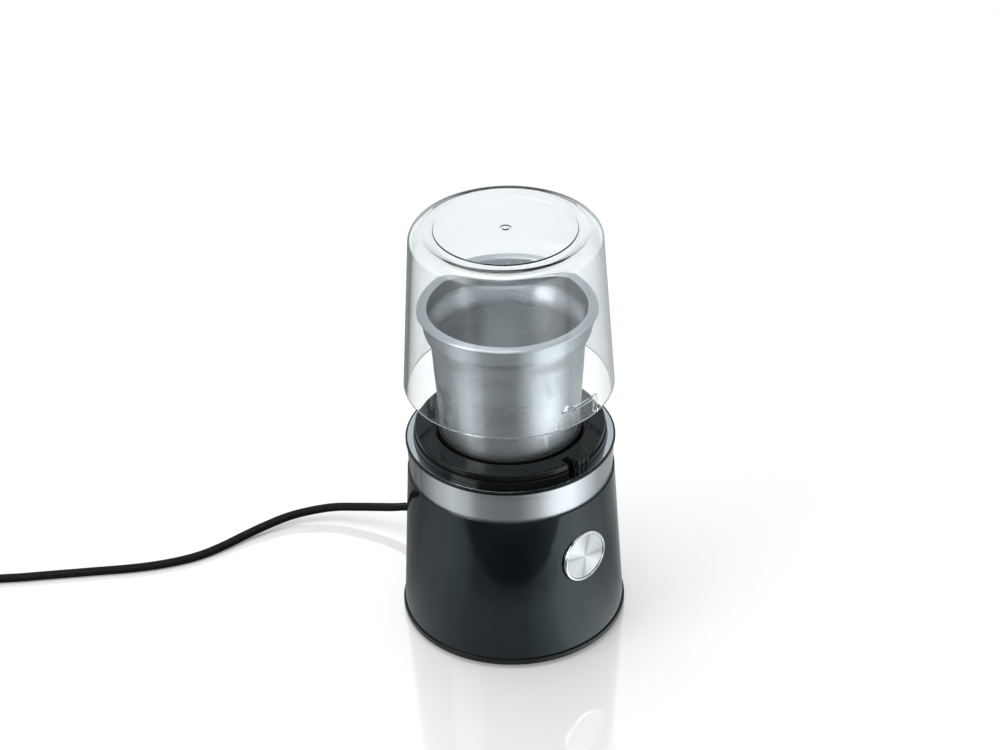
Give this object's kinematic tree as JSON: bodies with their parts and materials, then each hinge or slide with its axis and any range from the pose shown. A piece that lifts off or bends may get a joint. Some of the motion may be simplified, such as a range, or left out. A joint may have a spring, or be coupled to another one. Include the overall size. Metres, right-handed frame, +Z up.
{
  "type": "electric spice grinder",
  "caption": "Electric spice grinder with a lift-out steel bowl and blade, a clear lid lifted off, a round motor base with a push button, and a mains lead.",
  "frame": {"origin": "on the floor under the motor axis, at the underside of the rubber feet", "axes": "+Z up along the motor axis; the push button faces -Y and the mains lead leaves towards +Y"},
  "size_m": [0.3565, 0.2801, 0.214],
  "materials": {
    "shell": "glossy anthracite moulding",
    "black_gloss": "glossy black moulding",
    "black_soft": "satin black flexible plastic",
    "feet": "matte rubber",
    "trim": "black trim",
    "brushed": "brushed stainless steel",
    "polished": "polished stainless steel",
    "chromed": "bright chrome",
    "spun": "spun metal disc",
    "clear": "clear moulded plastic",
    "bare_steel": "zinc-plated steel",
    "shaft": "ground steel",
    "lamination": "stacked sheet steel",
    "copper": "enamelled copper",
    "bronze": "sintered bronze",
    "board": "laminated board",
    "carbon": "carbon",
    "red": "red moulding",
    "cream": "cream moulding",
    "yellow": "yellow film capacitor"
  },
  "bodies": {
    "housing": {"body_shell": "shell", "base_plate": "black_gloss", "rubber_feet": "feet", "base_screws": "bare_steel", "steel_band": "brushed", "trim_ring": "trim", "ledge_ring": "polished", "top_collar": "black_gloss", "collar_screws": "bare_steel", "stator_core": "lamination", "field_coils": "copper", "upper_bracket": "bare_steel", "lower_bracket": "bare_steel", "upper_bearing": "bronze", "lower_bearing": "bronze", "motor_bolts": "bare_steel", "motor_dampers": "feet", "motor_screws": "bare_steel", "brush_carrier": "board", "brush_holders": "bronze", "carbon_brushes": "carbon", "button_spring": "shaft", "start_switch": "black_gloss", "interlock_spring": "shaft", "interlock_switch": "black_gloss", "terminal_block": "cream", "suppressor": "yellow", "cord_clamp": "black_gloss", "clamp_screws": "bare_steel", "cord_tail": "black_soft", "strain_relief": "black_soft", "mains_cord": "black_soft", "cord_coil": "black_soft", "plug_cord": "black_soft", "plug_body": "black_soft", "plug_pins": "shaft"},
    "bowl": {"bowl_cup": "brushed", "bowl_base": "black_gloss", "bowl_bush": "bronze", "shaft_seal": "black_soft"},
    "blade_set": {"blade_shaft": "shaft", "blade": "polished", "blade_nut": "polished", "driven_coupling": "black_gloss"},
    "lid": {"lid": "clear"},
    "rotor": {"rotor_shaft": "shaft", "armature_core": "lamination", "armature_winding": "copper", "commutator": "copper", "cooling_fan": "black_gloss", "drive_coupling": "black_gloss"},
    "button": {"button_cap": "chromed", "button_face": "spun", "button_stem": "black_gloss"},
    "switch_plunger": {"start_plunger": "red"},
    "lock_pin": {"interlock_pin": "black_gloss"},
    "lock_plunger": {"interlock_plunger": "red"}
  },
  "joints": [
    {"name": "bowl_lift", "type": "slide", "parent": "housing", "child": "bowl", "axis": [0, 0, 1], "range_m": [0, 0.06]},
    {"name": "lid_lift", "type": "slide", "parent": "bowl", "child": "lid", "axis": [0, 0, 1], "range_m": [-0.03, 0.07]},
    {"name": "rotor_spin", "type": "hinge", "parent": "housing", "child": "rotor", "pos_m": [0, 0, 0.05], "axis": [0, 0, 1], "continuous": true},
    {"name": "blade_spin", "type": "hinge", "parent": "bowl", "child": "blade_set", "pos_m": [0, 0, 0.1], "axis": [0, 0, 1], "continuous": true},
    {"name": "button_press", "type": "slide", "parent": "housing", "child": "button", "axis": [0, 0.9985, -0.0539], "range_m": [0, 0.0016], "stiffness_N_per_m": 800, "springref_m": -0.003, "deforming": ["button_spring"]},
    {"name": "switch_press", "type": "slide", "parent": "housing", "child": "switch_plunger", "axis": [0, 0.9985, -0.0539], "range_m": [0, 0.0016]},
    {"name": "lock_press", "type": "slide", "parent": "housing", "child": "lock_pin", "axis": [0, 0, -1], "range_m": [0, 0.0018], "stiffness_N_per_m": 300, "springref_m": -0.004, "deforming": ["interlock_spring"]},
    {"name": "lock_switch_press", "type": "slide", "parent": "housing", "child": "lock_plunger", "axis": [0, 0, -1], "range_m": [0, 0.0018]}
  ],
  "couplings": [
    {"joint": "blade_spin", "follows": "rotor_spin", "ratio": 1},
    {"joint": "switch_press", "follows": "button_press", "ratio": 1},
    {"joint": "lock_switch_press", "follows": "lock_press", "ratio": 1}
  ]
}
